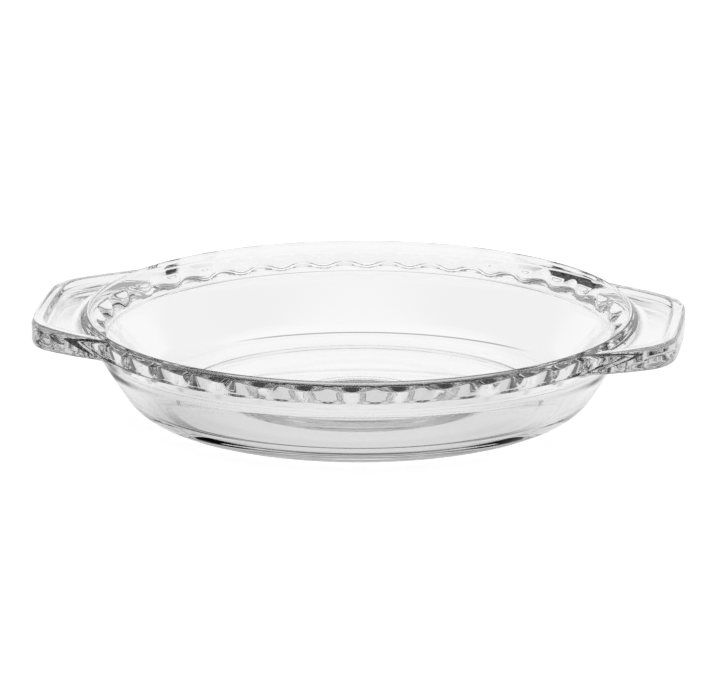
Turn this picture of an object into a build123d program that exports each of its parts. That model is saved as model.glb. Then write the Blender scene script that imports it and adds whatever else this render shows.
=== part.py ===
from build123d import *

import os
from math import cos, radians, sin, tan

# A round, deep pie dish of clear glass, pressed in one piece. A thick band runs round the rim, and
# 36 scoops inside it give a pie crust its crimped edge. Two tab handles grow out of the band, each
# with a raised border round a sunk panel.
# Origin: on the table, under the centre of the dish. +Z is up and +X runs through the handles.

# Driving dimensions, in millimetres and degrees

# Rim band
rim_radius = 121.5
dish_height = 44.5
crest_width = 2.0  # glass at the top of the rim, which is a full round
crest_straight = 0.4  # the crest's inside stays upright this far under its round
band_height = 10.2  # crest down to the band's lower edge
band_lip = 0.8  # the band stands out this far past the wall under it

# Wall, floor and foot
wall_lean = 33.0  # degrees from upright
wall_glass = 5.5
outer_corner_radius = 20.0
inner_corner_radius = 12.0
floor_glass = 5.8
foot_rise = 1.2  # the middle of the underside stands this far off the table
foot_width = 6.0
foot_slope = 2.0  # run of the slope from the foot up to the raised middle

# Two plain rings moulded under the middle of the floor
mark_ring_radius = 29.0
mark_ring_gap = 3.0
mark_ring_width = 1.2
mark_ring_height = 0.4

# Scoops inside the band, and the ridges that they leave between them
scoop_count = 36  # the first one's middle lies on the handles' axis
shoulder_lean = 55.0  # degrees from upright of the slope from the crest in to the ridges
ridge_foot_drop = 13.0  # crest down to where the ridges stand on the wall
ridge_inset = 0.4  # how far the ledge under the scoops cuts a ridge's tip back
ledge_drop = 11.3  # crest down to where the scoops start
ledge_start_depth = 0.1  # depth that they start with
ledge_rise = 1.5  # height of the slope that they start on
ledge_depth = 0.8  # how deep that slope takes them
scoop_lean = 26.0  # degrees from upright of the back of a scoop
brow_drop = 3.6  # crest down to where the back of a scoop leans out further
brow_lean = 50.0  # degrees from upright of the back of a scoop above that

# Tab handles
handle_length = 22.0  # face of the band to the middle of a handle's end
handle_end_width = 79.5  # across the end, before its corners are rounded
handle_end_bow = 2.0  # the middle of the end stands out this far past its corners
handle_flare = 34.0  # degrees that each side opens towards the rim
handle_corner_radius = 27.5
handle_root_radius = 65.0
handle_blank_share = 0.63  # of the rim's radius: where the flaring sides start, inside the rim
handle_drop = 1.2  # crest down to the top of the handle
handle_lift = 0.3  # lower edge of the band up to the handle's underside, where that starts
handle_droop = 2.1  # the underside falls this far from there to the handle's end
handle_heel = 12.0  # the slope of the underside runs on this far into the bowl
handle_edge_radius = 1.9
handle_skin = 0.2  # the plate between the handles lies this far inside the face of the band
handle_plate_depth = 1.0  # how deep that plate runs on into the band
border_width = 6.0
panel_depth = 2.2
panel_gap = 2.4  # rim band to the sunk panel
panel_corner_radius = 3.0
panel_floor_radius = 1.2

overrun = 5.0  # how far a cutter runs past what it cuts

# Heights and radii that follow from them
band_bottom = dish_height - band_height
handle_reach = rim_radius + handle_length
handle_top = dish_height - handle_drop
handle_slope = handle_droop / handle_length
handle_root_height = band_bottom + handle_lift
handle_heel_height = handle_root_height + handle_heel * handle_slope
handle_lowest = handle_root_height - handle_droop - overrun * handle_slope
floor_height = foot_rise + floor_glass
crest_radius = crest_width / 2
crest_inside = rim_radius - crest_width
crest_springing = dish_height - crest_radius
crest_foot_height = crest_springing - crest_straight
ridge_foot_height = dish_height - ridge_foot_drop
ledge_height = dish_height - ledge_drop
brow_height = dish_height - brow_drop
half_pitch = 180 / scoop_count
wall_slope = tan(radians(wall_lean))
wall_across = wall_glass / cos(radians(wall_lean))


def outer_wall_radius(height):
    """Radius of the wall's outside at a height above the table."""
    return rim_radius - band_lip - (band_bottom - height) * wall_slope


def inner_wall_radius(height):
    """Radius of the wall's inside at a height above the table."""
    return outer_wall_radius(height) - wall_across


def polar(radius, degrees):
    """A point of the plan, by its distance from the centre and its angle from the handles' axis."""
    return Vector(radius * cos(radians(degrees)), radius * sin(radians(degrees)))


foot_outside = outer_wall_radius(0) - outer_corner_radius * tan(radians(90 - wall_lean) / 2)
foot_inside = foot_outside - foot_width
middle_radius = foot_inside - foot_slope
ridge_face_radius = inner_wall_radius(ridge_foot_height)
ridge_tip_radius = ridge_face_radius + ridge_inset
ridge_shoulder_height = crest_foot_height - (crest_inside - ridge_face_radius) / tan(radians(shoulder_lean))
brow_depth = ledge_depth + (brow_height - ledge_height - ledge_rise) * tan(radians(scoop_lean))
scoop_end_depth = brow_depth + (crest_foot_height - brow_height) * tan(radians(brow_lean))

# The bowl before its scoops are cut: one section, turned round the axis
with BuildPart() as bowl:
    with BuildSketch(Plane.XZ) as bowl_section:
        with BuildLine():
            underside = Polyline(
                (0, foot_rise),
                (middle_radius, foot_rise),
                (foot_inside, 0),
                (outer_wall_radius(0), 0),
                (outer_wall_radius(band_bottom), band_bottom),
                (rim_radius, band_bottom),
                (rim_radius, crest_springing),
            )
            crest = ThreePointArc(
                underside @ 1,
                (rim_radius - crest_radius, dish_height),
                (crest_inside, crest_springing),
            )
            Polyline(
                crest @ 1,
                (crest_inside, crest_foot_height),
                (ridge_face_radius, ridge_shoulder_height),
                (ridge_face_radius, ridge_foot_height),
                (inner_wall_radius(floor_height), floor_height),
                (0, floor_height),
                (0, foot_rise),
            )
        make_face()
        outer_corner = (outer_wall_radius(0), 0, 0)
        fillet(bowl_section.vertices().sort_by_distance(outer_corner)[0], outer_corner_radius)
        inner_corner = (inner_wall_radius(floor_height), floor_height, 0)
        fillet(bowl_section.vertices().sort_by_distance(inner_corner)[0], inner_corner_radius)
    revolve(axis=Axis.Z)

# Plan of one handle: its sides flare towards the rim and its end is a shallow arc. It starts well
# inside the rim, so that its sides cross the rim's circle.
with BuildSketch() as handle_blank:
    corner_reach = handle_reach - handle_end_bow
    corner_half_width = handle_end_width / 2
    blank_start = rim_radius * handle_blank_share
    start_half_width = corner_half_width + (corner_reach - blank_start) * tan(radians(handle_flare))
    with BuildLine():
        Polyline(
            (corner_reach, corner_half_width),
            (blank_start, start_half_width),
            (blank_start, -start_half_width),
            (corner_reach, -corner_half_width),
        )
        ThreePointArc(
            (corner_reach, -corner_half_width),
            (handle_reach, 0),
            (corner_reach, corner_half_width),
        )
    make_face()
    fillet(handle_blank.vertices().group_by(Axis.X)[-1], handle_corner_radius)

# Plan of the rim with both handles, joined to it by wide hollow curves
with BuildSketch() as rim_plan:
    Circle(rim_radius - handle_skin)
    add(handle_blank.sketch)
    add(handle_blank.sketch, rotation=180)
    roots = rim_plan.vertices().sort_by_distance((0, 0, 0))[:4]
    fillet(roots, handle_root_radius)

# The handles, with a ring between them that lies inside the band and ties them to it. Their
# underside is a shallow cone, so that they grow thicker towards their ends.
with BuildPart() as handles:
    with BuildSketch(Plane.XY.offset(handle_lowest)):
        add(rim_plan.sketch)
    extrude(amount=handle_top - handle_lowest)
    with BuildSketch(Plane.XZ):
        with BuildLine():
            Polyline(
                (0, handle_lowest - overrun),
                (0, handle_heel_height),
                (rim_radius - handle_heel, handle_heel_height),
                (handle_reach + overrun, handle_lowest),
                (handle_reach + overrun, handle_lowest - overrun),
                close=True,
            )
        make_face()
    revolve(axis=Axis.Z, mode=Mode.SUBTRACT)
    cone_edges = handles.faces().filter_by(GeomType.CONE).edges().filter_by(GeomType.LINE, reverse=True)
    underside_edges = cone_edges.sort_by_distance((0, 0, 0))[1:]
    fillet(handles.faces().sort_by(Axis.Z)[-1].edges() + underside_edges, handle_edge_radius)
    with BuildSketch(Plane.XY.offset(handle_lowest)):
        Circle(rim_radius - handle_skin - handle_plate_depth)
    extrude(amount=handle_top - handle_lowest + overrun, mode=Mode.SUBTRACT)

# Plan of one sunk panel: the handle's plan drawn in by the width of the border, outside the band
with BuildSketch() as panel_plan:
    add(handle_blank.sketch)
    offset(amount=-border_width)
    Circle(rim_radius + panel_gap, mode=Mode.SUBTRACT)
    corners_by_band = panel_plan.vertices().sort_by_distance((0, 0, 0))[:2]
    fillet(corners_by_band, panel_corner_radius)

# Cutter for the two sunk panels
with BuildPart() as panels:
    with BuildSketch(Plane.XY.offset(handle_top - panel_depth)):
        add(panel_plan.sketch)
        add(panel_plan.sketch, rotation=180)
    extrude(amount=panel_depth + overrun)
    fillet(panels.faces().group_by(Axis.Z)[0].edges(), panel_floor_radius)

# Cutter for the scoops: wavy discs one above the other, joined by straight lines. A disc's wave is
# two arcs, one through the tip of a ridge and one through the back of a scoop, which meet half way
# between them. The tips stay in line, and the backs lean out towards the crest.
scoop_levels = (
    (ledge_height, ledge_start_depth),
    (ledge_height + ledge_rise, ledge_depth),
    (brow_height, brow_depth),
    (crest_foot_height, scoop_end_depth),
)

with BuildPart() as scoops:
    for level, depth in scoop_levels:
        meeting_radius = ridge_tip_radius + depth / 2
        with BuildSketch(Plane.XY.offset(level)):
            with BuildLine():
                for scoop in range(scoop_count):
                    middle = 2 * half_pitch * scoop
                    start = polar(meeting_radius, middle - half_pitch / 2)
                    end = polar(meeting_radius, middle + half_pitch / 2)
                    next_start = polar(meeting_radius, middle + 3 * half_pitch / 2)
                    ThreePointArc(start, polar(ridge_tip_radius + depth, middle), end)
                    ThreePointArc(end, polar(ridge_tip_radius, middle + half_pitch), next_start)
            make_face()
    loft(ruled=True)

# The finished dish
with BuildPart() as pie_dish:
    add(bowl.part)
    add(handles.part)
    add(panels.part, mode=Mode.SUBTRACT)
    add(scoops.part, mode=Mode.SUBTRACT)
    with BuildSketch(Plane.XY.offset(foot_rise)):
        for outside in (mark_ring_radius, mark_ring_radius - mark_ring_gap):
            Circle(outside)
            Circle(outside - mark_ring_width, mode=Mode.SUBTRACT)
    extrude(amount=-mark_ring_height)

pie_dish.part.label = "pie_dish"
os.makedirs("parts", exist_ok=True)
export_step(pie_dish.part, "parts/pie_dish.step")

box = pie_dish.part.bounding_box()
print("size", box.size)
print("lowest and highest point", box.min.Z, box.max.Z)
print("volume", pie_dish.part.volume, "solids", len(pie_dish.part.solids()))
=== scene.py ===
# %% [markdown]
# # A pressed glass pie dish
# The dish is one piece of clear glass: a bowl with a sloping wall, a thick band round its rim,
# crimps like a pie crust's inside the band, and two tab handles. Clear glass shows both of its
# surfaces at once, so its looks come from one closed, smooth skin with rounded edges. This script
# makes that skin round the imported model, gives it a glass that bends light, and sets it on a
# pale table in studio light.

from math import acos, atan2, cos, degrees, pi, radians, sin, sqrt, tan

import bmesh
import bpy
import numpy as np
from mathutils import Matrix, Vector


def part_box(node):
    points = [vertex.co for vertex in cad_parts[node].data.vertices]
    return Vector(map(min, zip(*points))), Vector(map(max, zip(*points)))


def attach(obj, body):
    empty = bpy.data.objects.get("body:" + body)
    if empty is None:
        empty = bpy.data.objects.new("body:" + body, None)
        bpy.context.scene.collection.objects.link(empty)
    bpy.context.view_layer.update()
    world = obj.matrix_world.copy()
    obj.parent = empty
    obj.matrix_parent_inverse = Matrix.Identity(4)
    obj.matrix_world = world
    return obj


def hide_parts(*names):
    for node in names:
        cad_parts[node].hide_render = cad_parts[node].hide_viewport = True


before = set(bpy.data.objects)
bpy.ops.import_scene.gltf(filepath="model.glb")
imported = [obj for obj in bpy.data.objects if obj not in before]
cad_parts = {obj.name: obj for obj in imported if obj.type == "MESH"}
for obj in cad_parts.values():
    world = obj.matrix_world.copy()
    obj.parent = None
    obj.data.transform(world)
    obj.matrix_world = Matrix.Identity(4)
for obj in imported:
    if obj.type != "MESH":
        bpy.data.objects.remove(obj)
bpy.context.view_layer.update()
node_low, node_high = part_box("pie_dish")
mm = 0.001
print("packed model, mm:", [round(side / mm, 1) for side in node_high - node_low])

# %% [markdown]
# ## Sizes
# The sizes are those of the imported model. The overall ones are read from it, and the others are
# repeated here, in metres, with the part's own names.

# %% Sizes of the rim, wall, floor and foot
rim_radius = min(node_high.y, -node_low.y)
dish_height = node_high.z
crest_width = 2 * mm
band_height = 10.2 * mm
band_bottom = dish_height - band_height
band_lip = 0.8 * mm
band_edge_radius = 0.7 * mm
wall_lean = radians(33)
wall_glass = 5.5 * mm
floor_glass = 5.8 * mm
foot_rise = 1.2 * mm
foot_width = 6 * mm
foot_slope = 2 * mm
foot_edge_radius = 1.5 * mm
outer_corner_radius = 20 * mm
inner_corner_radius = 12 * mm
crest_radius = crest_width / 2
crest_inside = rim_radius - crest_width
crest_springing = dish_height - crest_radius
floor_height = foot_rise + floor_glass


def outer_wall_radius(height):
    """Radius of the wall's outside at a height above the table."""
    return rim_radius - band_lip - (band_bottom - height) * tan(wall_lean)


def inner_wall_radius(height):
    """Radius of the wall's inside at a height above the table."""
    return outer_wall_radius(height) - wall_glass / cos(wall_lean)


print("rim radius and height, mm:", round(rim_radius / mm, 2), round(dish_height / mm, 2))

# %% Sizes of the crimps inside the band
scoop_count = 36
shoulder_lean = radians(55)
crest_straight = 0.4 * mm
crest_foot = crest_springing - crest_straight
ridge_foot_drop = 13 * mm
ridge_foot = dish_height - ridge_foot_drop
ridge_inset = 0.4 * mm
ledge_drop = 11.3 * mm
ledge_height = dish_height - ledge_drop
ledge_rise = 1.5 * mm
ledge_depth = 0.8 * mm
scoop_lean = radians(26)
brow_drop = 3.6 * mm
brow_height = dish_height - brow_drop
brow_lean = radians(50)
ledge_top = ledge_height + ledge_rise
ridge_face_radius = inner_wall_radius(ridge_foot)
ridge_tip_radius = ridge_face_radius + ridge_inset
ridge_shoulder = crest_foot - (crest_inside - ridge_face_radius) / tan(shoulder_lean)
print("ridge tip radius, mm:", round(ridge_tip_radius / mm, 2))
print("ridge shoulder height, mm:", round(ridge_shoulder / mm, 2))

# %% Sizes of the handles
handle_reach = min(node_high.x, -node_low.x)
handle_end_width = 79.5 * mm
handle_end_bow = 2 * mm
handle_flare = radians(34)
handle_corner_radius = 27.5 * mm
handle_root_radius = 65 * mm
handle_drop = 1.2 * mm
handle_top = dish_height - handle_drop
handle_hang = 1.8 * mm  # the end of a handle's underside lies this far under the band
handle_edge_radius = 1.9 * mm
handle_skin = 0.2 * mm
border_width = 6 * mm
panel_depth = 2.2 * mm
panel_gap = 2.4 * mm
panel_edge_run = 1.6 * mm
print("handle length past the band, mm:", round((handle_reach - rim_radius) / mm, 2))

# %% [markdown]
# ## Rounded outlines
# Every section of the dish is straight runs joined by tangent arcs, as a mould maker draws it.
# The helper below rounds each corner of such a path by its own radius, and spreads the points
# so that arcs get many and straight runs few.

# %% A path with rounded corners
def rounded_path(corners, radii, arc_steps, run_steps):
    """Points along the corners' path. Each inner corner has a radius and a number of arc steps."""
    corners = [np.array(corner) for corner in corners]
    path = [corners[0]]
    for before, corner, after, radius, arc, run in zip(
        corners, corners[1:], corners[2:], radii, arc_steps, run_steps
    ):
        back = (before - corner) / np.linalg.norm(before - corner)
        on = (after - corner) / np.linalg.norm(after - corner)
        turn = pi - acos(np.clip(back @ on, -1, 1))
        start = corner + back * radius * tan(turn / 2)
        middle = (back + on) / np.linalg.norm(back + on)
        centre = corner + middle * radius / cos(turn / 2)
        came_from = path[-1]
        for step in range(1, run):
            path.append(came_from + (start - came_from) * step / run)
        across = start - centre
        way = np.sign(back[0] * on[1] - back[1] * on[0])
        for step in range(arc + 1):
            angle = -way * turn * step / arc
            turned = (
                across[0] * cos(angle) - across[1] * sin(angle),
                across[0] * sin(angle) + across[1] * cos(angle),
            )
            path.append(centre + turned)
    came_from = path[-1]
    for step in range(1, run_steps[-1] + 1):
        path.append(came_from + (corners[-1] - came_from) * step / run_steps[-1])
    return np.array(path)


# %% [markdown]
# ## Inside of the dish
# From the middle of the floor the glass runs out to the wall, up the wall, and then over the
# crimps to the crest. The mould maker turns the whole inside as one plain section, through the
# ridges, and then cuts the scoops behind them: they start on a small ledge, lean out as they
# rise, and open wide under the crest. So the skin starts as the plain section too, and each of
# its rings carries the depth that the scoops have at that height.

# %% How deep the scoops are at a height
def scoop_depth(height):
    """How far the back of a scoop lies behind the ridges' tips."""
    share = np.clip((height - ledge_height) / ledge_rise, 0, 1)
    on_ledge = ledge_depth * share * share * (3 - 2 * share)
    on_back = max(0, min(height, brow_height) - ledge_top) * tan(scoop_lean)
    on_brow = max(0, height - brow_height) * tan(brow_lean)
    return on_ledge + on_back + on_brow


print("scoop depth under the crest, mm:", round(scoop_depth(crest_foot) / mm, 2))

# %% The plain section of the inside, from the crest down to the floor
ridge_shoulder_round = 1.5 * mm
crest_foot_round = 0.3 * mm
ridge_foot_round = 0.6 * mm
upper_section = rounded_path(
    [
        (crest_inside, crest_springing),
        (crest_inside, crest_foot),
        (ridge_face_radius, ridge_shoulder),
        (ridge_face_radius, ledge_top),
    ],
    [crest_foot_round, ridge_shoulder_round],
    arc_steps=(3, 5),
    run_steps=(1, 12, 8),
)
ledge_points = 8
ledge_rows = np.linspace(ledge_top, ledge_height, ledge_points)[1:-1]
ledge_section = np.column_stack((np.full(len(ledge_rows), ridge_face_radius), ledge_rows))
lower_section = rounded_path(
    [
        (ridge_face_radius, ledge_height),
        (ridge_face_radius, ridge_foot),
        (inner_wall_radius(floor_height), floor_height),
        (inner_wall_radius(floor_height) / 2, floor_height),
    ],
    [ridge_foot_round, inner_corner_radius],
    arc_steps=(3, 12),
    run_steps=(2, 2, 2),
)
crest_points = 9
crest_middle = rim_radius - crest_radius
crest_angles = np.radians(np.linspace(90, 180, crest_points))[:-1]
crest_inner_half = np.column_stack((
    crest_middle + crest_radius * np.cos(crest_angles),
    crest_springing + crest_radius * np.sin(crest_angles),
))
inside_rows = np.vstack((crest_inner_half, upper_section, ledge_section, lower_section))[::-1]
depth_rows = [scoop_depth(height) if height < crest_foot else 0 for height in inside_rows[:, 1]]
print("points along the inside section:", len(inside_rows))

# %% [markdown]
# ## Outline of the handles
# Seen from above, a handle's sides flare towards the rim, its end is a shallow arc, and wide
# hollow curves join it to the band. The skin is a grid of rings and spokes, so the outline is
# needed as a radius for each spoke.

# %% The plan of the rim and its handles
def plan_outline():
    """Points of a quarter of the plan, from the middle of a handle's end to the band."""
    corner_reach = handle_reach - handle_end_bow
    half_width = handle_end_width / 2
    end_radius = (half_width**2 + handle_end_bow**2) / (2 * handle_end_bow)
    end_centre = np.array((handle_reach - end_radius, 0))
    along = np.array((-cos(handle_flare), sin(handle_flare)))
    inward = np.array((-sin(handle_flare), -cos(handle_flare)))
    side_start = np.array((corner_reach, half_width))
    from_end = side_start + inward * handle_corner_radius - end_centre
    reach = from_end @ along
    gap = from_end @ from_end - (end_radius - handle_corner_radius) ** 2
    corner_centre = end_centre + from_end + along * (-reach - sqrt(reach**2 - gap))
    from_middle = side_start - inward * handle_root_radius
    reach = from_middle @ along
    inner_radius = rim_radius - handle_skin
    gap = from_middle @ from_middle - (inner_radius + handle_root_radius) ** 2
    root_centre = from_middle + along * (-reach - sqrt(reach**2 - gap))
    outline = []

    def add_arc(centre, radius, start, end, steps=80):
        """An arc that starts and ends in the directions of two points seen from its centre."""
        first = atan2(start[1] - centre[1], start[0] - centre[0])
        last = atan2(end[1] - centre[1], end[0] - centre[0])
        turn = (last - first + pi) % (2 * pi) - pi
        for step in range(steps + 1):
            angle = first + turn * step / steps
            outline.append(centre + radius * np.array((cos(angle), sin(angle))))

    far_side = end_centre + (corner_centre - end_centre) * 2
    add_arc(end_centre, end_radius, end_centre + (1, 0), far_side)
    add_arc(corner_centre, handle_corner_radius, far_side, corner_centre - inward)
    add_arc(root_centre, handle_root_radius, root_centre + inward, (0, 0))
    return np.array(outline)


outline = plan_outline()
outline_angles = np.append(np.arctan2(outline[:, 1], outline[:, 0]), pi / 2)
outline_radii = np.append(np.hypot(outline[:, 0], outline[:, 1]), rim_radius - handle_skin)
print("handle joins the band at, degrees from its axis:", round(degrees(outline_angles[-2]), 1))

# %% [markdown]
# ## Spokes of the grid
# Sixteen spokes to a crimp follow its curves closely. They stand closer together over the tip of
# a ridge than in the wide hollow of a scoop. A scoop's middle lies on the handles' axis.

# %% Directions of the spokes
spokes_per_scoop = 16
spoke_crowding_share = 0.35
half_pitch = pi / scoop_count
steps = np.arange(scoop_count * spokes_per_scoop) / spokes_per_scoop
crowding = spoke_crowding_share * half_pitch / pi * np.sin(2 * pi * steps)
spokes = 2 * half_pitch * steps + crowding
folded = np.abs((spokes + pi / 2) % pi - pi / 2)
edge_radii = np.interp(folded, outline_angles, outline_radii)
fine_count = 4001
fine_angles = np.linspace(0, pi / 2, fine_count)
fine_radii = np.interp(fine_angles, outline_angles, outline_radii)
fine_slants = np.hypot(1, np.gradient(fine_radii, fine_angles) / fine_radii)
slants = np.interp(folded, fine_angles, fine_slants)
print("spokes:", len(spokes))

# %% [markdown]
# ## Outside of the dish
# From the crest the skin runs over the top of the handle, if the spoke crosses one, down the
# handle's or the band's face, and back under it to the wall. The top of a handle is a plate with
# a raised border round a sunk panel. A pressed edge is never sharp, so the joined outline is
# softened a little by averaging along it.

# %% The outside section along one spoke
fine_step = 0.03 * mm
softening = 0.22 * mm
top_points = 44
top_samples = 1200
face_shares = (0.08, 0.35, 0.65, 0.92, 1)
edge_angles = np.radians(np.linspace(0, 90, 7))[1:]


def ease(share):
    """Runs from 0 to 1 with a soft start and end."""
    share = np.clip(share, 0, 1)
    return share * share * (3 - 2 * share)


def top_section(edge_radius, slant):
    """Radius and height from the crest over the handle's top to the start of its face."""
    last_radius = max(edge_radius, rim_radius)
    radii = np.linspace(crest_middle, last_radius, top_samples)
    on_crest = np.clip(radii - crest_middle, 0, crest_radius)
    crest = crest_springing + np.sqrt(crest_radius**2 - on_crest**2)
    crest[radii > rim_radius] = 0
    inside_edge = (edge_radius - radii) / slant
    on_edge = np.clip(inside_edge, 0, handle_edge_radius)
    plate = handle_top - handle_edge_radius
    plate = plate + np.sqrt(handle_edge_radius**2 - (handle_edge_radius - on_edge) ** 2)
    sunk = ease((inside_edge - border_width + panel_edge_run / 2) / panel_edge_run)
    sunk = sunk * ease((radii - rim_radius) / panel_gap)
    plate = plate - panel_depth * sunk
    plate[inside_edge < 0] = 0
    heights = np.maximum(crest, plate)
    heights[-1] = handle_top - handle_edge_radius
    return spread(soften(np.column_stack((radii, heights))), top_points)


def soften(path):
    """Rounds the path's corners by a running average that keeps both of its ends."""
    lengths = np.append(0, np.cumsum(np.hypot(*np.diff(path, axis=0).T)))
    places = np.linspace(0, lengths[-1], int(lengths[-1] / fine_step))
    even = np.column_stack([np.interp(places, lengths, path[:, axis]) for axis in (0, 1)])
    reach = int(3 * softening / fine_step)
    weights = np.exp(-0.5 * (np.arange(-reach, reach + 1) * fine_step / softening) ** 2)
    weights /= weights.sum()
    before = 2 * even[0] - even[reach:0:-1]
    after = 2 * even[-1] - even[-2:-reach - 2:-1]
    longer = np.vstack((before, even, after))
    return np.column_stack([np.convolve(longer[:, axis], weights, "valid") for axis in (0, 1)])


def spread(path, count):
    """Points spread along the path, closer together where it bends."""
    bend_weight = 1.6 * mm
    moves = np.diff(path, axis=0)
    headings = np.unwrap(np.arctan2(moves[:, 1], moves[:, 0]))
    bends = np.abs(np.diff(headings, prepend=headings[0]))
    weights = np.hypot(moves[:, 0], moves[:, 1]) + bend_weight * bends
    window = 15
    weights = np.convolve(np.pad(weights, window, "edge"), np.ones(2 * window + 1), "valid")
    lengths = np.append(0, np.cumsum(weights))
    places = np.linspace(0, lengths[-1], count)
    return np.column_stack([np.interp(places, lengths, path[:, axis]) for axis in (0, 1)])


def face_section(edge_radius, slant):
    """Radius and height down the face of the handle or band, round its lower edge to the wall."""
    face = max(edge_radius, rim_radius)
    handle_share = min(1, (face - rim_radius) / handle_edge_radius)
    round_radius = band_edge_radius + (handle_edge_radius - band_edge_radius) * handle_share
    bottom = band_bottom - handle_hang * (face - rim_radius) / (handle_reach - rim_radius)
    face_top = handle_top - handle_edge_radius
    arc_top = bottom + round_radius
    section = [(face, face_top + (arc_top - face_top) * share) for share in face_shares]
    for angle in edge_angles:
        inset = round_radius * slant * (1 - cos(angle))
        section.append((face - inset, arc_top - round_radius * sin(angle)))
    last = np.array(section[-1])
    wall_top = np.array((outer_wall_radius(band_bottom), band_bottom))
    section += [tuple(last + (wall_top - last) * share) for share in (1 / 3, 2 / 3, 1)]
    return np.array(section)


outside_sections = np.array([
    np.vstack((top_section(edge, slant)[1:], face_section(edge, slant)))
    for edge, slant in zip(edge_radii, slants)
])
print("points along the outside section:", outside_sections.shape[1])

# %% [markdown]
# ## Underside
# The wall turns under in a wide curve to a narrow foot, and the middle of the base stands a
# little off the table. Two plain rings are moulded under it.

# %% The section of the underside
mark_ring_radius = 29 * mm
mark_ring_gap = 3 * mm
mark_ring_width = 1.2 * mm
mark_ring_height = 0.4 * mm
ring_side = 0.2 * mm
foot_outside = outer_wall_radius(0) - outer_corner_radius * tan((pi / 2 - wall_lean) / 2)
foot_inside = foot_outside - foot_width
middle_share = 0.7
underside = rounded_path(
    [
        (outer_wall_radius(band_bottom), band_bottom),
        (outer_wall_radius(0), 0),
        (foot_inside, 0),
        (foot_inside - foot_slope, foot_rise),
        (foot_inside * middle_share, foot_rise),
    ],
    [outer_corner_radius, foot_edge_radius, foot_edge_radius],
    arc_steps=(14, 3, 3),
    run_steps=(3, 2, 1, 2),
)[1:]
ring_section = []
for outside in (mark_ring_radius, mark_ring_radius - mark_ring_gap):
    inside = outside - mark_ring_width
    ring_section.append((outside + ring_side, foot_rise))
    ring_section.append((outside, foot_rise - mark_ring_height))
    ring_section.append((inside, foot_rise - mark_ring_height))
    ring_section.append((inside - ring_side, foot_rise))
underside = np.vstack((underside, ring_section))
print("foot from, to, mm:", round(foot_inside / mm, 1), round(foot_outside / mm, 1))

# %% [markdown]
# ## The plain skin
# The three sections are joined into one grid of points, from the middle of the floor, over the
# crest, to the middle of the underside, and both middles are closed with a fan. Each point keeps
# the depth of the scoops at its height as a number.

# %% Build the skin before its crimps are pressed
spoke_count = len(spokes)
rings = [np.tile(point, (spoke_count, 1)) for point in inside_rows]
rings += [outside_sections[:, row] for row in range(outside_sections.shape[1])]
rings += [np.tile(point, (spoke_count, 1)) for point in underside]
depths = np.zeros(len(rings))
depths[: len(depth_rows)] = depth_rows
grid = np.array(rings)
points = np.stack((grid[..., 0] * np.cos(spokes), grid[..., 0] * np.sin(spokes), grid[..., 1]), -1)

skin = bmesh.new()
depth_layer = skin.verts.layers.float.new("scoop_depth")
ring_verts = []
for ring_points, depth in zip(points, depths):
    ring = [skin.verts.new(point) for point in ring_points]
    for vert in ring:
        vert[depth_layer] = depth
    ring_verts.append(ring)
for ring, next_ring in zip(ring_verts, ring_verts[1:]):
    for spoke in range(spoke_count):
        following = (spoke + 1) % spoke_count
        skin.faces.new((ring[spoke], ring[following], next_ring[following], next_ring[spoke]))
for ring, height in ((ring_verts[0], floor_height), (ring_verts[-1], foot_rise)):
    middle = skin.verts.new((0, 0, height))
    for spoke in range(spoke_count):
        skin.faces.new((middle, ring[(spoke + 1) % spoke_count], ring[spoke]))
bmesh.ops.recalc_face_normals(skin, faces=skin.faces)
plain_mesh = bpy.data.meshes.new("plain_dish")
skin.to_mesh(plain_mesh)
skin.free()
plain_dish = bpy.data.objects.new("plain_dish", plain_mesh)
bpy.context.scene.collection.objects.link(plain_dish)
triangles = sum(len(face.vertices) - 2 for face in plain_mesh.polygons)
print("rings:", len(rings), "triangles:", triangles)

# %% [markdown]
# ## The glass
# Pressed glass is clear and fire-polished, so it is a smooth shader that only bends and mirrors
# light, with the index of a heat-proof glass. A trace of grey in its depth, told by an absorbing
# volume, darkens the light that is trapped in the rim and runs a long way through it. A shadow
# ray goes straight through and keeps most of its light, as it would through a real dish, which
# brightens its own shadow.

# %% Make the glass
glass_tint = 0.99
glass_index = 1.47
depth_darkness = 3.5
shadow_share = 0.93
clear_glass = bpy.data.materials.new("clear_glass")
clear_glass.use_nodes = True
nodes = clear_glass.node_tree.nodes
links = clear_glass.node_tree.links
glass_shader = nodes["Principled BSDF"]
glass_shader.inputs["Base Color"].default_value = (glass_tint, glass_tint, glass_tint, 1)
glass_shader.inputs["Roughness"].default_value = 0
glass_shader.inputs["IOR"].default_value = glass_index
glass_shader.inputs["Transmission Weight"].default_value = 1
depth_tint = nodes.new("ShaderNodeVolumeAbsorption")
depth_tint.inputs["Color"].default_value = (0, 0, 0, 1)
depth_tint.inputs["Density"].default_value = depth_darkness
straight_through = nodes.new("ShaderNodeBsdfTransparent")
straight_through.inputs["Color"].default_value = (shadow_share, shadow_share, shadow_share, 1)
ray_kind = nodes.new("ShaderNodeLightPath")
shadow_mix = nodes.new("ShaderNodeMixShader")
links.new(ray_kind.outputs["Is Shadow Ray"], shadow_mix.inputs["Fac"])
links.new(glass_shader.outputs["BSDF"], shadow_mix.inputs[1])
links.new(straight_through.outputs["BSDF"], shadow_mix.inputs[2])
links.new(shadow_mix.outputs["Shader"], nodes["Material Output"].inputs["Surface"])
links.new(depth_tint.outputs["Volume"], nodes["Material Output"].inputs["Volume"])
print("made", clear_glass.name)

# %% [markdown]
# ## Pressing the crimps
# The crimps repeat by a rule, so Geometry Nodes press them. A plunger with a wavy outline widens
# the plain inside: at each height the wave runs from the ridges' tips out to the depth of the
# scoops and back. A point moves out where the wave lies outside it and stays where it doesn't,
# and the two meet in a small round. The number of crimps, the radius of their tips and the size
# of the round are inputs.

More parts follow.
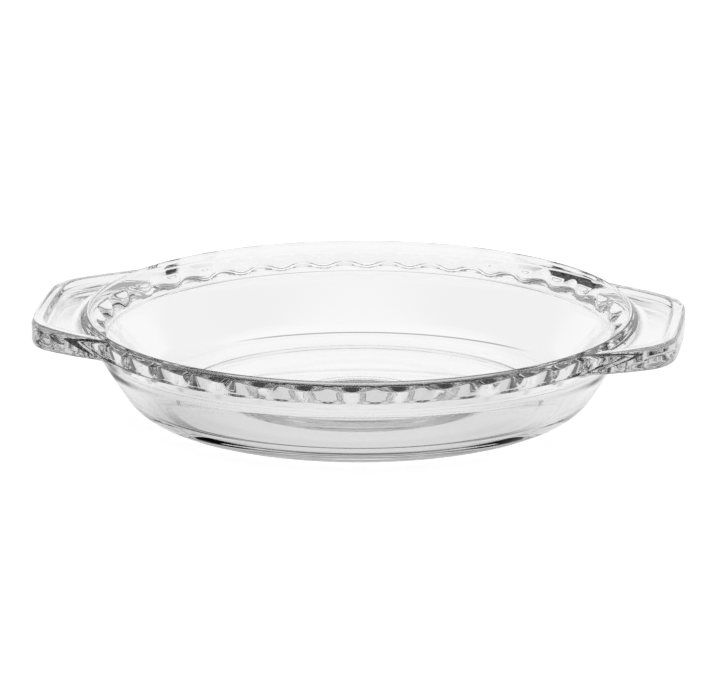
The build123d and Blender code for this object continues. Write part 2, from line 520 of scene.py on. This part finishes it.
# %% A small helper for sums in a node tree
def node_sum(tree, operation, *values):
    """A Math node in the tree, fed by sockets or by plain numbers."""
    node = tree.nodes.new("ShaderNodeMath")
    node.operation = operation
    for socket, value in zip(node.inputs, values):
        if isinstance(value, (int, float)):
            socket.default_value = value
        else:
            tree.links.new(value, socket)
    return node.outputs["Value"]


def level_radius(tree, x, y):
    """The distance from the upright axis, from sockets that carry X and Y."""
    squares = [node_sum(tree, "MULTIPLY", side, side) for side in (x, y)]
    return node_sum(tree, "SQRT", node_sum(tree, "ADD", *squares))


# %% Inputs of the tree
press = bpy.data.node_groups.new("press_crimps", "GeometryNodeTree")
press.interface.new_socket("Geometry", in_out="OUTPUT", socket_type="NodeSocketGeometry")
press.interface.new_socket("Geometry", in_out="INPUT", socket_type="NodeSocketGeometry")
press_rounding = 0.5 * mm
press_sizes = {
    "Crimps": float(scoop_count),
    "Ridge tip radius": ridge_tip_radius,
    "Rounding": press_rounding,
}
press_sockets = {
    name: press.interface.new_socket(name, in_out="INPUT", socket_type="NodeSocketFloat")
    for name in press_sizes
}
finish_socket = press.interface.new_socket(
    "Finish", in_out="INPUT", socket_type="NodeSocketMaterial"
)
group_in = press.nodes.new("NodeGroupInput")
group_out = press.nodes.new("NodeGroupOutput")
crimps, tip, rounding = [group_in.outputs[name] for name in press_sizes]
print("inputs:", list(press_sizes))

# %% The wave's radius in each point's direction
place = press.nodes.new("GeometryNodeInputPosition")
split_place = press.nodes.new("ShaderNodeSeparateXYZ")
press.links.new(place.outputs["Position"], split_place.inputs["Vector"])
x, y = split_place.outputs["X"], split_place.outputs["Y"]
depth_here = press.nodes.new("GeometryNodeInputNamedAttribute")
depth_here.inputs["Name"].default_value = "scoop_depth"
depth = depth_here.outputs["Attribute"]
angle = node_sum(press, "ARCTAN2", y, x)
swing = node_sum(press, "COSINE", node_sum(press, "MULTIPLY", angle, crimps))
wave = node_sum(press, "MULTIPLY_ADD", swing, 0.5, 0.5)
wave_radius = node_sum(press, "MULTIPLY_ADD", depth, wave, tip)

# %% Move the points out to the wave, smooth the skin and give it its finish
plain_radius = level_radius(press, x, y)
pressed_radius = node_sum(press, "SMOOTH_MAX", plain_radius, wave_radius, rounding)
stretch = node_sum(press, "DIVIDE", pressed_radius, node_sum(press, "MAXIMUM", plain_radius, mm))
new_place = press.nodes.new("ShaderNodeCombineXYZ")
press.links.new(node_sum(press, "MULTIPLY", x, stretch), new_place.inputs["X"])
press.links.new(node_sum(press, "MULTIPLY", y, stretch), new_place.inputs["Y"])
press.links.new(split_place.outputs["Z"], new_place.inputs["Z"])
move = press.nodes.new("GeometryNodeSetPosition")
press.links.new(group_in.outputs["Geometry"], move.inputs["Geometry"])
press.links.new(node_sum(press, "GREATER_THAN", depth, 0.0), move.inputs["Selection"])
press.links.new(new_place.outputs["Vector"], move.inputs["Position"])
shade = press.nodes.new("GeometryNodeSetShadeSmooth")
press.links.new(move.outputs["Geometry"], shade.inputs["Geometry"])
realize = press.nodes.new("GeometryNodeRealizeInstances")
press.links.new(shade.outputs["Geometry"], realize.inputs["Geometry"])
set_finish = press.nodes.new("GeometryNodeSetMaterial")
press.links.new(realize.outputs["Geometry"], set_finish.inputs["Geometry"])
press.links.new(group_in.outputs["Finish"], set_finish.inputs["Material"])
press.links.new(set_finish.outputs["Geometry"], group_out.inputs["Geometry"])
print("nodes in the tree:", len(press.nodes))

# %% Press the crimps and keep the result as a plain mesh
pressing = plain_dish.modifiers.new("press_crimps", "NODES")
pressing.node_group = press
for name, size in press_sizes.items():
    pressing[press_sockets[name].identifier] = size
pressing[finish_socket.identifier] = clear_glass
pressed = plain_dish.evaluated_get(bpy.context.evaluated_depsgraph_get())
dish_mesh = bpy.data.meshes.new_from_object(pressed)
dish_mesh.name = "pressed_dish"
dish_mesh.attributes.remove(dish_mesh.attributes["scoop_depth"])
plain_dish.modifiers.remove(pressing)
bpy.data.objects.remove(plain_dish)
pressed_dish = bpy.data.objects.new("pressed_dish", dish_mesh)
bpy.context.scene.collection.objects.link(pressed_dish)
print("pressed dish, mm:", [round(side / mm, 1) for side in pressed_dish.dimensions])

# %% [markdown]
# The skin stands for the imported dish: it is hidden from view, and still carries the collision.

# %% Put the dish in its place in the frame
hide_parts("pie_dish")
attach(pressed_dish, "root")
print("placed", pressed_dish.name)

# %% [markdown]
# ## The table
# The table is a plain pale sheet. Glass shows what is behind and under it, so the sheet is given
# its white twice: as paint that takes the studio's light and the dish's soft shadow, and as a
# light of its own, for the eye and for rays that come through the glass.
#
# The photograph's background was cut out to white afterwards, while its glass still shows a studio
# with darker places. So the light that the glass sees has four soft rings of painted shade, each
# over a part of the circle: a painted contact shadow under the foot, painted shade under the wall
# that the front crimps gather into small dark caps, a wider painted shadow under the rim, and a
# thin painted dark arc at the far side of the floor. Their places were found by following the
# light back, and their strengths are listed.

# %% Make the table
table_half = 20
table_corners = [(-table_half, -table_half, 0), (table_half, -table_half, 0)]
table_corners += [(table_half, table_half, 0), (-table_half, table_half, 0)]
table_mesh = bpy.data.meshes.new("table_top")
table_mesh.from_pydata(table_corners, [], [(0, 1, 2, 3)])
table_top = bpy.data.objects.new("table_top", table_mesh)
bpy.context.scene.collection.objects.link(table_top)
table_gap = 0.05 * mm
table_top.location.z = -table_gap
print("table side, m:", 2 * table_half)

# %% A helper for soft steps in a shader
def shade_step(tree, value, start, end, low=0.0, high=1.0):
    """Runs softly from low to high while the value runs from start to end."""
    node = tree.nodes.new("ShaderNodeMapRange")
    node.interpolation_type = "SMOOTHSTEP"
    tree.links.new(value, node.inputs["Value"])
    limits = {"From Min": start, "From Max": end, "To Min": low, "To Max": high}
    for socket, number in limits.items():
        node.inputs[socket].default_value = number
    return node.outputs["Result"]


# %% The table's own light for the glass, with painted shade rings, by the place on it
pale_sheet = bpy.data.materials.new("pale_sheet")
pale_sheet.use_nodes = True
table_mesh.materials.append(pale_sheet)
sheet = pale_sheet.node_tree
sheet_place = sheet.nodes.new("ShaderNodeTexCoord")
split_sheet = sheet.nodes.new("ShaderNodeSeparateXYZ")
sheet.links.new(sheet_place.outputs["Object"], split_sheet.inputs["Vector"])
sheet_x, sheet_y = split_sheet.outputs["X"], split_sheet.outputs["Y"]
from_middle = level_radius(sheet, sheet_x, sheet_y)
towards_back = node_sum(sheet, "DIVIDE", sheet_y, node_sum(sheet, "MAXIMUM", from_middle, mm))


def painted_shade_ring(darkness, inside, outside, sector):
    """What a soft ring of painted shade on the table leaves of the light.

    It grows over the inside radii and fades over the outside ones. The sector is where it fades
    in round the circle, from none to full, with -1 in front of the dish and 1 behind it.
    """
    grown = shade_step(sheet, from_middle, *inside)
    kept = shade_step(sheet, from_middle, *outside, 1.0, 0.0)
    ring = node_sum(sheet, "MULTIPLY", grown, kept)
    ring = node_sum(sheet, "MULTIPLY", ring, shade_step(sheet, towards_back, *sector))
    return node_sum(sheet, "MULTIPLY_ADD", ring, -darkness, 1.0)


# Painted shade in the table's light for the glass: a contact shadow under the foot, shade under
# the wall and under the rim, and a thin dark arc behind the dish.
painted_foot_shadow = painted_shade_ring(
    darkness=0.95,
    inside=(84.5 * mm, 86.5 * mm),
    outside=(89.5 * mm, 91.5 * mm),
    sector=(-0.25, -0.75),
)
painted_wall_shade = painted_shade_ring(
    darkness=0.98,
    inside=(97.5 * mm, 99.5 * mm),
    outside=(128 * mm, 134 * mm),
    sector=(-0.35, -0.8),
)
painted_rim_shade = painted_shade_ring(
    darkness=0.8,
    inside=(115 * mm, 121 * mm),
    outside=(150 * mm, 200 * mm),
    sector=(0.4, 0.05),
)
painted_far_arc_shade = painted_shade_ring(
    darkness=0.6,
    inside=(106 * mm, 107.5 * mm),
    outside=(108.5 * mm, 110 * mm),
    sector=(0.75, 0.9),
)
# Painted shade for the glass: the table's light is dimmer in front of the dish than behind it.
glow_fade = (-0.6, 0.4)
front_glow, back_glow = 0.8, 0.97
painted_light_for_glass = shade_step(sheet, towards_back, *glow_fade, front_glow, back_glow)
for left_over in (painted_foot_shadow, painted_wall_shade, painted_rim_shade, painted_far_arc_shade):
    painted_light_for_glass = node_sum(sheet, "MULTIPLY", painted_light_for_glass, left_over)
print("nodes for the table's light:", len(sheet.nodes))

# %% The table's paint
paint_white = 0.8
paint_roughness = 0.9
eye_glow = 0.62
paint = sheet.nodes["Principled BSDF"]
paint.inputs["Base Color"].default_value = (paint_white, paint_white, paint_white, 1)
paint.inputs["Roughness"].default_value = paint_roughness
paint.inputs["Specular IOR Level"].default_value = 0
sheet_rays = sheet.nodes.new("ShaderNodeLightPath")
mirrored, bent = [sheet_rays.outputs[ray] for ray in ("Is Glossy Ray", "Is Transmission Ray")]
through_glass = node_sum(sheet, "MAXIMUM", mirrored, bent)
# The painted light and shade above glow on the table for rays that come through or mirror off the
# glass.
glow_for_glass = sheet.nodes.new("ShaderNodeEmission")
sheet.links.new(painted_light_for_glass, glow_for_glass.inputs["Strength"])
glow_for_eye = sheet.nodes.new("ShaderNodeEmission")
glow_for_eye.inputs["Strength"].default_value = eye_glow
painted = sheet.nodes.new("ShaderNodeAddShader")
sheet.links.new(paint.outputs["BSDF"], painted.inputs[0])
sheet.links.new(glow_for_eye.outputs["Emission"], painted.inputs[1])
for_eye = sheet.nodes.new("ShaderNodeMixShader")
sheet.links.new(sheet_rays.outputs["Is Camera Ray"], for_eye.inputs["Fac"])
sheet.links.new(paint.outputs["BSDF"], for_eye.inputs[1])
sheet.links.new(painted.outputs["Shader"], for_eye.inputs[2])
for_glass = sheet.nodes.new("ShaderNodeMixShader")
sheet.links.new(through_glass, for_glass.inputs["Fac"])
sheet.links.new(for_eye.outputs["Shader"], for_glass.inputs[1])
sheet.links.new(glow_for_glass.outputs["Emission"], for_glass.inputs[2])
sheet.links.new(for_glass.outputs["Shader"], sheet.nodes["Material Output"].inputs["Surface"])
print("made", pale_sheet.name)

# %% [markdown]
# ## Studio light
# The dish is lit as glass is lit for a catalogue: a broad white field behind it, a dim room in
# front and at the sides, and a soft light overhead, with a dimmer gap between field and light.
# The bright field makes the clear walls white, and the dim room and the gap give the curved edges
# their dark lines. All of it is one shade of the world that depends on direction, so it stands
# still when the view moves. The eye itself sees white, as the photograph's background is.

# %% The room round the dish
room = bpy.data.worlds.new("studio")
bpy.context.scene.world = room
room.use_nodes = True
sky = room.node_tree
towards = sky.nodes.new("ShaderNodeTexCoord")
split_towards = sky.nodes.new("ShaderNodeSeparateXYZ")
sky.links.new(towards.outputs["Generated"], split_towards.inputs["Vector"])
sky_y, sky_up = [split_towards.outputs[axis] for axis in "YZ"]
nearly_nothing = 0.0001
level_square = node_sum(sky, "SUBTRACT", 1.0, node_sum(sky, "MULTIPLY", sky_up, sky_up))
level_part = node_sum(sky, "SQRT", node_sum(sky, "MAXIMUM", level_square, nearly_nothing))
to_back = node_sum(sky, "DIVIDE", sky_y, level_part)
print("nodes for the direction:", len(sky.nodes))

# %% The field at the back, the dim sides and front, and the light overhead
back_light = 0.97
side_light = 0.3
front_light = 0.08
top_light = 1.06
gap_darkness = 0.5
side_fade = (-0.95, 0.1)
back_fade = (-0.2, 0.7)
gap_fade = (sin(radians(20)), sin(radians(26)))
top_fade = (sin(radians(45)), sin(radians(57)))
from_front = shade_step(sky, to_back, *side_fade, front_light, side_light)
from_sides = shade_step(sky, to_back, *back_fade, 0.0, back_light - side_light)
low_sky = node_sum(sky, "ADD", from_front, from_sides)
above_field = shade_step(sky, sky_up, *gap_fade)
left_in_gap = node_sum(sky, "MULTIPLY_ADD", above_field, -gap_darkness, 1.0)
low_sky = node_sum(sky, "MULTIPLY", low_sky, left_in_gap)
overhead = shade_step(sky, sky_up, *top_fade)
kept_low = node_sum(sky, "MULTIPLY", low_sky, node_sum(sky, "SUBTRACT", 1.0, overhead))
room_light = node_sum(sky, "MULTIPLY_ADD", overhead, top_light, kept_low)
world_rays = sky.nodes.new("ShaderNodeLightPath")
eye_white = sky.nodes.new("ShaderNodeMix")
sky.links.new(world_rays.outputs["Is Camera Ray"], eye_white.inputs["Factor"])
sky.links.new(room_light, eye_white.inputs["A"])
eye_white.inputs["B"].default_value = 1
sky.links.new(eye_white.outputs["Result"], sky.nodes["Background"].inputs["Strength"])
sky.nodes["Background"].inputs["Color"].default_value = (1, 1, 1, 1)
print("made", room.name)

# %% [markdown]
# ## Camera
# The photograph is taken from far away with a long lens, looking down by about fifteen degrees.
# The rim's and the base's curves give the distance, and the handles give the turn round the dish.

# %% Place the camera
camera_back = 2885.9 * mm
camera_height = 819.4 * mm
camera_yaw = radians(6.67)
camera_pan = radians(0.022)
camera_tilt = radians(15.28)
focal_pixels = 6751
image_width = 724
lens = bpy.data.cameras.new("camera")
lens.sensor_width = 36
lens.lens = lens.sensor_width * focal_pixels / image_width
camera = bpy.data.objects.new("camera", lens)
camera_place = (camera_back * sin(camera_yaw), -camera_back * cos(camera_yaw), camera_height)
camera.matrix_world = (
    Matrix.Translation(camera_place)
    @ Matrix.Rotation(camera_yaw - camera_pan, 4, "Z")
    @ Matrix.Rotation(pi / 2 - camera_tilt, 4, "X")
)
bpy.context.scene.collection.objects.link(camera)
bpy.context.scene.camera = camera
print("lens, mm:", round(lens.lens, 1))

# %% [markdown]
# ## Plain colours and deep glass
# Colours are shown as they are written. Light may turn many times in the rim before it gets out,
# so the paths through the glass are allowed to be long.

# %% View settings and path lengths
scene = bpy.context.scene
scene.view_settings.view_transform = "Standard"
most_turns = 20
scene.cycles.max_bounces = most_turns
scene.cycles.transmission_bounces = most_turns
scene.cycles.glossy_bounces = most_turns
print("turns of light in the glass, at most:", most_turns)
